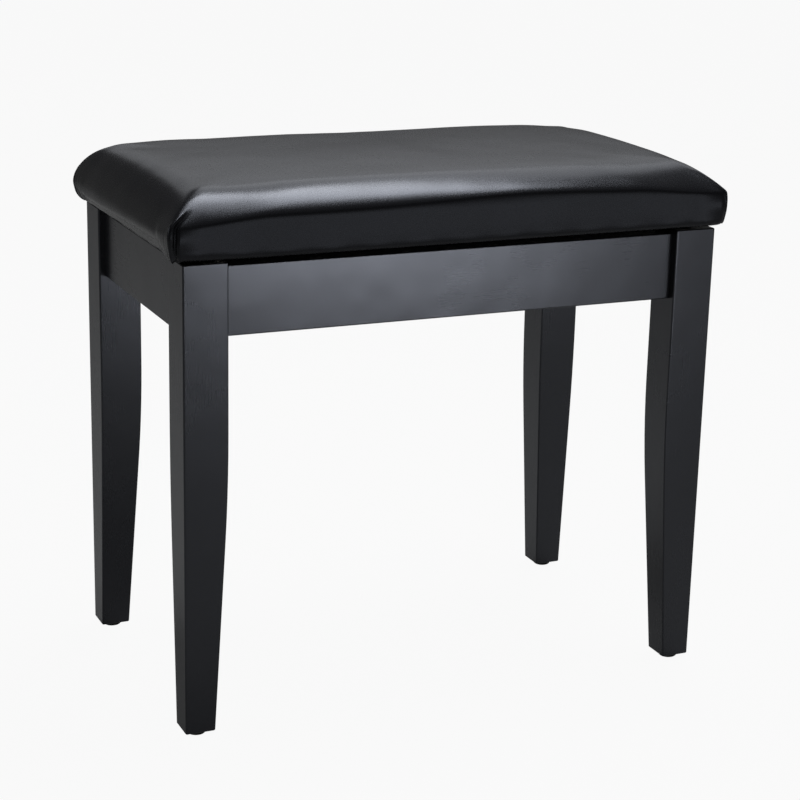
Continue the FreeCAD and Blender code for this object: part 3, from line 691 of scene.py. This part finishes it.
# Runs a cloth on a mesh with some of its points held, and gives back how far each point moved.
def runCloth(name, points, faces, held, settings):
    study = meshPiece(name, points, faces, None)
    group = study.vertex_groups.new(name="held")
    group.add([int(i) for i in held], 1.0, "REPLACE")
    modifier = study.modifiers.new("cloth", "CLOTH")
    cloth = modifier.settings
    cloth.quality = 5
    cloth.mass = settings["mass"]
    cloth.tension_stiffness = cloth.compression_stiffness = cloth.shear_stiffness = settings["stiffness"]
    cloth.bending_stiffness = settings["bending"]
    cloth.vertex_group_mass = "held"
    cloth.use_pressure = settings["pressure"] > 0
    cloth.uniform_pressure_force = settings["pressure"]
    cloth.shrink_min = -settings["slack"]
    cloth.effector_weights.gravity = settings["gravity"]
    modifier.collision_settings.use_collision = False
    modifier.point_cache.frame_start = 1
    modifier.point_cache.frame_end = settings["frames"]
    for moment in range(1, settings["frames"] + 1):
        scene.frame_set(moment)
    graph = bpy.context.evaluated_depsgraph_get()
    settled = np.zeros(len(points) * 3, np.float32)
    study.evaluated_get(graph).data.vertices.foreach_get("co", settled)
    moved = settled.reshape(-1, 3).astype(float) - points
    bpy.data.objects.remove(study)
    scene.frame_set(1)
    length = np.linalg.norm(moved, axis=1, keepdims=True)
    print(name, "moved up to", round(1000 * float(length.max()), 2), "mm")
    return moved * np.minimum(1, settings["limit"] / np.maximum(length, 1e-9))


# The padding's swell, found on a coarser cover and carried over to the given points.
def swell(points):
    rings = coverRings(swelling["counts"], swelling["grading"], **swelling["rings"])
    coarse, faces = ringMesh(rings, capGrid(rings[-1], swelling["counts"], seatHigh.z))
    held = np.where(coarse[:, 2] < seatLow.z + swelling["heldRise"])[0]
    moved = runCloth("swellStudy", coarse, faces, held, swelling)
    tree = KDTree(len(coarse))
    for i, place in enumerate(coarse):
        tree.insert(place, i)
    tree.balance()
    carried = np.zeros_like(points)
    for i, place in enumerate(points):
        found = tree.find_n(place, swelling["near"])
        weights = [math.exp(-(distance / swelling["spread"]) ** 2) + 1e-9 for _, _, distance in found]
        carried[i] = np.average([moved[index] for _, index, _ in found], axis=0, weights=weights)
    return carried * swelling["share"] * calmBorder(points)[:, None]


# Less on the upright border, which is drawn tight, than on the top.
def calmBorder(points):
    onTop = 1 - fading(points[:, 2] - seatLow.z, *swelling["calmRise"])
    return swelling["calm"] + (1 - swelling["calm"]) * onTop


folds = {
    # how strongly each corner is pleated, and how its folding differs from the others'
    "strength": (1.0, 0.15, 0.3, 0.5), "own": (0.0, 0.35, 1.0, 0.7),
    # the pleat leans over to the long side between two heights and fades out between two others;
    # the border reaches this far in
    "line": 0.0045, "lineRise": (0.028, 0.040), "lineOwn": 0.3,
    "fadeRise": (0.028, 0.042), "borderReach": 0.050,
    "lip": 0.0014, "lipPlace": -0.0026, "lipWidth": 0.0021,
    "groove": 0.0030, "groovePlace": 0.0020, "grooveWidth": 0.0020,
    # the flap folded over on the end side, with a crease along its slanting edge
    "flap": 0.0008, "flapEdge": -0.027, "flapSlant": 0.35, "flapSoft": 0.0010, "flapBack": 0.001,
    "flapRise": (0.020, 0.032), "crease": 0.00045, "creaseWidth": 0.0014, "creaseRise": (0.016, 0.028),
    # how the ends swell out
    "bulge": 0.0022, "bulgeRise": 0.019, "bulgeHeight": 0.013, "bulgeReach": (0.004, 0.030),
    # gathers beside the pleat, weaker on the long side, and the least that a corner has of them
    "gather": 0.0019, "gatherLeast": 0.35, "gatherBeyond": 0.25, "gatherPitch": 0.0068,
    "gatherReach": 0.017, "gatherTop": 0.034, "gatherSlant": 0.04, "gatherShift": 2.0,
    # the tail tucked in at the lower edge
    "notch": 0.0026, "notchPlace": -0.0215, "notchWidth": 0.0050, "notchRise": 0.0035,
    # puckers between the staples, even ones and uneven ones
    "pucker": 0.00016, "puckerRise": 0.009, "puckerSize": 0.009, "staplePitch": 0.042,
    # unevenness of the whole cover; below the least height the hem stays smooth
    "broadWave": 0.00045, "broadSize": 0.085, "fineWave": 0.00016, "fineSize": 0.032,
    "leastRise": 0.0005,
}


# Slow unevenness over places of about the given size; each shift gives another pattern.
def noiseOver(points, size, shift):
    return np.array([noise.noise(Vector(p) / size + Vector((shift, 0, 0))) for p in points])


# Which corner each point is nearest to, counted as in the dictionaries.
def cornerOf(points):
    return np.where(points[:, 0] < 0, 0, 1) + np.where(points[:, 1] < 0, 0, 2)


# How far the vinyl stands out of its smooth form: a pleat at each corner with its lip on the end
# side, gathers beside it, a tucked tail, puckers along the lower edge and the hand's unevenness.
def foldHeights(points):
    x, y = points[:, 0], points[:, 1]
    rise = points[:, 2] - seatLow.z
    fromEnd = seatHigh.x - np.abs(x)
    fromSide = seatHigh.y - np.abs(y)
    past = fromEnd - fromSide                          # from the corner, towards the long side
    own = np.array(folds["own"])[cornerOf(points)]
    strength = np.array(folds["strength"])[cornerOf(points)]

    onBorder = np.minimum(fromSide, fromEnd) < folds["borderReach"]
    lean = folds["line"] * (1 - fading(rise, *folds["lineRise"])) * (1 + folds["lineOwn"] * own)
    fromPleat = past - lean
    shown = fading(rise, *folds["fadeRise"]) * onBorder * strength
    height = shown * folds["lip"] * hill(fromPleat - folds["lipPlace"], folds["lipWidth"])
    height -= shown * folds["groove"] * hill(fromPleat - folds["groovePlace"], folds["grooveWidth"])

    flapEdge = folds["flapEdge"] - folds["flapSlant"] * rise
    flap = 1 / (1 + np.exp(np.clip((flapEdge - past) / folds["flapSoft"], -30, 30)))
    flap = np.where(fromPleat < 0, flap, hill(fromPleat, folds["flapBack"]))
    height += shown * folds["flap"] * fading(rise, *folds["flapRise"]) * flap

    low = fading(rise, 0.0, folds["gatherTop"]) * np.where(past < 0, 1, folds["gatherBeyond"])
    share = folds["gatherLeast"] + (1 - folds["gatherLeast"]) * own
    waves = 2 * math.pi * (np.abs(past) + folds["gatherSlant"] * rise) / folds["gatherPitch"]
    height += (folds["gather"] * share * low * np.exp(-np.abs(past) / folds["gatherReach"])
               * np.sin(waves + folds["gatherShift"] * own))

    notch = hill(past - folds["notchPlace"], folds["notchWidth"])
    height -= folds["notch"] * strength * notch * hill(rise - folds["notchRise"], folds["notchRise"])
    crease = hill(past - flapEdge + folds["creaseWidth"], folds["creaseWidth"])
    height -= folds["crease"] * strength * crease * fading(rise, *folds["creaseRise"])

    along = np.where(fromSide < fromEnd, x, y)
    edge = fading(rise, 0.0, folds["puckerRise"])
    height += folds["pucker"] * edge * np.cos(2 * math.pi * along / folds["staplePitch"])
    height += folds["pucker"] * edge * noiseOver(points, folds["puckerSize"], shift=5.0)
    swollen = hill(rise - folds["bulgeRise"], folds["bulgeHeight"])
    height += folds["bulge"] * fading(fromEnd, *folds["bulgeReach"]) * swollen
    height += calmBorder(points) * folds["broadWave"] * noiseOver(points, folds["broadSize"], shift=1.0)
    height += folds["fineWave"] * noiseOver(points, folds["fineSize"], shift=2.0)
    return height * np.where(rise < folds["leastRise"], 0, 1)


# Draws the lower corners in and up, as the vinyl is where it is pulled round the board.
def pullCorners(points):
    rise = points[:, 2] - seatLow.z
    fromEnd = seatHigh.x - np.abs(points[:, 0])
    fromSide = seatHigh.y - np.abs(points[:, 1])
    near = hill(fromEnd - fromSide, cushion["cornerPullWidth"]) * fading(rise, 0.0, cushion["cornerPullRise"])
    near *= fading(np.minimum(fromEnd, fromSide), *cushion["cornerPullDepth"])
    pull = near * np.array(cushion["cornerPull"])[cornerOf(points)]
    pulled = points.copy()
    for axis in (0, 1):
        pulled[:, axis] -= np.sign(points[:, axis]) * pull
    pulled[:, 2] += cushion["cornerLift"] * pull
    return pulled


counts = (cushion["columns"], cushion["rows"])
rings = coverRings(counts, cushion["cornerGrading"], **cushion["rings"])
points, faces = ringMesh(rings, capGrid(rings[-1], counts, seatHigh.z))
points += swell(points)
points = pullCorners(points)
cover = meshPiece("vinylCover", points, faces, "vinyl")
points = points + vertexNormals(cover) * foldHeights(points)[:, None]
cover.data.vertices.foreach_set("co", points.astype(np.float32).ravel())
cover.data.update()
skin = cover.modifiers.new("skin", "SOLIDIFY")
skin.thickness = cushion["coverThickness"]
skin.offset = -1
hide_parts("seat_cover")
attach(cover, "lid")
print("cover made:", len(points), "points")


# The foam under the cover, hollowed below to sit over the board and down past its edge.
def foamRings():
    shoulder = shoulderRings(cushion["foamGap"], counts, cushion["cornerGrading"], turns=14, flats=4)
    inner = shoulder[-1, :, :2]
    gap = cushion["boardGap"]
    boardRing = roundRectangle(boardHigh.x + gap, boardHigh.y + gap, cushion["boardCorner"],
                               cushion["cornerGrading"], counts)
    over, under = boardHigh.z + gap, boardHigh.z - cushion["skirt"]
    outline = shoulder[0, :, :2]
    leaned = outline + (inner - outline) * (cushion["foamLean"] / (cushion["capInset"] - cushion["foamGap"]))
    middle = (under + shoulder[0, :, 2]) / 2
    made = []
    for ring, height in ((inner, over), (boardRing, over), (boardRing, under), (leaned, under),
                         ((leaned + outline) / 2, middle)):
        made.append(np.column_stack([ring, np.broadcast_to(height, len(ring))]))
    return np.concatenate([np.array(made), shoulder])


rings = foamRings()
bottom = capGrid(rings[0], counts, 0.0)
bottom[..., 2] = rings[0, 0, 2]
points, faces = ringMesh(rings, capGrid(rings[-1], counts, seatHigh.z - cushion["foamGap"]), bottom)
padding = meshPiece("foamPad", pullCorners(points), faces, "foam")
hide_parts("seat_foam")
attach(padding, "lid")
print("foam made")


# ---- dust cloth under the seat

dustSheet = {
    # spacing of its points, the width turned back with its rows as shares of it, and how far one
    # layer lies over the other
    "step": 0.0055, "fold": 0.012, "foldRows": (0.04, 0.5, 1.0), "thickness": 0.00030, "layer": 0.00045,
    # what is held: the stapled edge, and a margin round the stay's bracket
    "bandHeld": 0.010, "flangeGap": 0.012,
    "frames": 24, "pressure": 0.0, "gravity": 1.0, "slack": 0.004,
    "stiffness": 12.0, "bending": 0.15, "mass": 0.1, "limit": 0.0026,
    "wrinkle": 0.00012, "wrinkleSize": 0.016,
}
dustLow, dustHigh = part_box("dust_cloth")
flangeLow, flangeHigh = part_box("stay_lid_bracket")


# A rectangle cut larger than the opening, its edges turned back over themselves on top and its
# corners cut away, with the middle left to hang between the staples.
def makeDustSheet():
    halfX, halfY = (dustHigh.x - dustLow.x) / 2, (dustHigh.y - dustLow.y) / 2
    middle = (dustLow + dustHigh) / 2
    fold, step = dustSheet["fold"], dustSheet["step"]
    spans = []
    for half in (halfX, halfY):
        inside = np.linspace(-half, half, int(2 * half / step) + 1)
        back = half + fold * np.array(dustSheet["foldRows"])
        spans.append(np.concatenate([-back[::-1], inside, back]))
    flatX, flatY = np.meshgrid(*spans)
    overX = np.clip(np.abs(flatX) - halfX, 0, None)
    overY = np.clip(np.abs(flatY) - halfY, 0, None)
    x = np.sign(flatX) * (np.minimum(np.abs(flatX), halfX) - overX)
    y = np.sign(flatY) * (np.minimum(np.abs(flatY), halfY) - overY)
    turned = np.minimum((overX + overY) / (dustSheet["foldRows"][0] * fold), 1)
    z = dustLow.z + dustSheet["thickness"] + dustSheet["layer"] * turned
    rows, columns = flatX.shape
    kept = {}
    points, faces = [], []
    for j in range(rows - 1):
        for i in range(columns - 1):
            corners = [(j, i), (j, i + 1), (j + 1, i + 1), (j + 1, i)]
            if max(overX[c] * overY[c] for c in corners) > 0:
                continue
            for c in corners:
                if c not in kept:
                    kept[c] = len(points)
                    points.append((x[c] + middle.x, y[c] + middle.y, z[c]))
            faces.append([kept[c] for c in corners])
    points = np.array(points)
    edge = np.maximum(np.abs(points[:, 0] - middle.x) - halfX, np.abs(points[:, 1] - middle.y) - halfY)
    held = edge > -dustSheet["bandHeld"]
    margin = dustSheet["flangeGap"]
    held |= ((points[:, 0] > flangeLow.x - margin) & (points[:, 0] < flangeHigh.x + margin)
             & (points[:, 1] > flangeLow.y - margin) & (points[:, 1] < flangeHigh.y + margin))
    hang = runCloth("dustStudy", points, faces, np.where(held)[0], dustSheet)
    wave = noiseOver(points, dustSheet["wrinkleSize"], shift=3.0) * dustSheet["wrinkle"] * ~held
    points = points + hang - np.outer(np.abs(wave), (0, 0, 1))
    sheetFlat = (2 * (halfX + fold), 2 * (halfY + fold))
    return points, faces, sheetFlat, sheetFlat[0] * sheetFlat[1] - 4 * fold ** 2


points, faces, sheetFlat, sheetArea = makeDustSheet()
dustPiece = meshPiece("dustCloth", points, faces, "dustFabric")
weave = dustPiece.modifiers.new("weave", "SOLIDIFY")
weave.thickness = dustSheet["thickness"]
weave.offset = 0
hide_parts("dust_cloth")
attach(dustPiece, "lid")
print("dust cloth made:", [round(s, 4) for s in sheetFlat])


# ---- camera, floor and lamps

view = {"place": (-0.7763, -1.7589, 0.8168), "yaw": -24.05, "tilt": 73.605, "roll": 1.335, "lens": 92.455}
camera = bpy.data.objects.new("camera", bpy.data.cameras.new("camera"))
scene.collection.objects.link(camera)
camera.matrix_world = (Matrix.Translation(view["place"])
                       @ Matrix.Rotation(math.radians(view["yaw"]), 4, "Z")
                       @ Matrix.Rotation(math.radians(view["tilt"]), 4, "X")
                       @ Matrix.Rotation(math.radians(view["roll"]), 4, "Z"))
camera.data.lens = view["lens"]
camera.data.sensor_width = 36.0
camera.data.clip_end = 100.0
scene.camera = camera

studio = {
    "floorColour": (0.36, 0.356, 0.34, 1.0), "floorRings": (0.0, 1.0, 3.0), "floorRadius": 7.0,
    "cove": 1.2, "coveSteps": 8, "wallHeight": 2.0, "around": 96,
    "whiteShare": 0.94, "mirroredShare": 0.08, "surroundings": grey(0.07, 0.002),
    "lampColour": (0.93, 0.955, 1.0),
}


# Floor, cove and wall in one sweep, pale all over.
def makeSweep():
    profile = [(radius, 0.0) for radius in studio["floorRings"]]
    for i in range(studio["coveSteps"] + 1):
        turn = i / studio["coveSteps"] * math.pi / 2
        profile.append((studio["floorRadius"] - studio["cove"] * (1 - math.sin(turn)),
                        studio["cove"] * (1 - math.cos(turn))))
    profile.append((studio["floorRadius"], studio["wallHeight"]))
    around = studio["around"]
    sweepPoints = [(0.0, 0.0, 0.0)]
    for radius, height in profile[1:]:
        for k in range(around):
            turn = 2 * math.pi * k / around
            sweepPoints.append((radius * math.cos(turn), radius * math.sin(turn), height))
    sweepFaces = [(0, 1 + k, 1 + (k + 1) % around) for k in range(around)]
    for r in range(len(profile) - 2):
        for k in range(around):
            n = (k + 1) % around
            first = 1 + r * around
            sweepFaces.append((first + k, first + around + k, first + around + n, first + n))
    return meshPiece("studioSweep", sweepPoints, sweepFaces, None)


def makeSweepMaterial():
    material, wire = startMaterial("paleSweep")
    rays = [wire.node("LightPath", {}, {}, ray)
            for ray in ("Is Camera Ray", "Is Glossy Ray", "Is Transmission Ray")]
    seen = rays[0] * studio["whiteShare"] + (rays[1] + rays[2]) * studio["mirroredShare"]
    matt = wire.node("BsdfDiffuse", {}, {"Color": studio["floorColour"]})
    white = wire.node("Emission", {}, {"Color": grey(1.0), "Strength": 1.0})
    mixed = wire.node("MixShader", {}, {0: seen, 1: matt, 2: white})
    wire.node("OutputMaterial", {}, {"Surface": mixed})
    return material


sweep = makeSweep()
sweep.data.materials.append(makeSweepMaterial())

surroundings = bpy.data.worlds.new("surroundings")
surroundings.use_nodes = True
surroundings.node_tree.nodes["Background"].inputs["Color"].default_value = studio["surroundings"]
scene.world = surroundings

# place, the point it faces, width, height, brightness and spread of each lamp
lamps = {
    "overheadBank": ((0.50, 0.14, 2.15), (0.04, 0.0, 0.50), 1.05, 0.54, 13.0, 180),
    "topBank": ((1.00, 1.35, 2.30), (0.04, 0.0, 0.50), 1.7, 1.2, 1.5, 180),
    "backBank": ((1.85, 3.00, 2.10), (0.0, 0.0, 0.50), 4.9, 1.7, 0.53, 180),
    "sideBank": ((-2.4, 0.6, 1.5), (0.0, 0.0, 0.35), 1.6, 1.6, 1.1, 180),
    "frontBank": ((0.53, -1.60, 0.19), (0.05, -0.13, 0.40), 0.56, 0.20, 0.74, 50),
    "borderBank": ((0.75, -2.60, 0.30), (0.0, -0.15, 0.45), 2.4, 0.5, 0.95, 180),
}
for lampName, (place, aim, width, height, level, spread) in lamps.items():
    lamp = bpy.data.lights.new(lampName, "AREA")
    lamp.shape = "RECTANGLE"
    lamp.color = studio["lampColour"]
    lamp.size = width
    lamp.size_y = height
    lamp.energy = level * math.pi * width * height
    lamp.spread = math.radians(spread)
    holder = bpy.data.objects.new(lampName, lamp)
    holder.location = place
    holder.visible_camera = False
    holder.rotation_euler = (Vector(aim) - Vector(place)).to_track_quat("-Z", "Y").to_euler()
    scene.collection.objects.link(holder)
    if lampName == "frontBank":
        spared = bpy.data.collections.new("sparedByFrontBank")
        spared.objects.link(cover)
        spared.collection_objects[0].light_linking.link_state = "EXCLUDE"
        holder.light_linking.receiver_collection = spared
scene.view_settings.view_transform = "Standard"
print("studio ready")
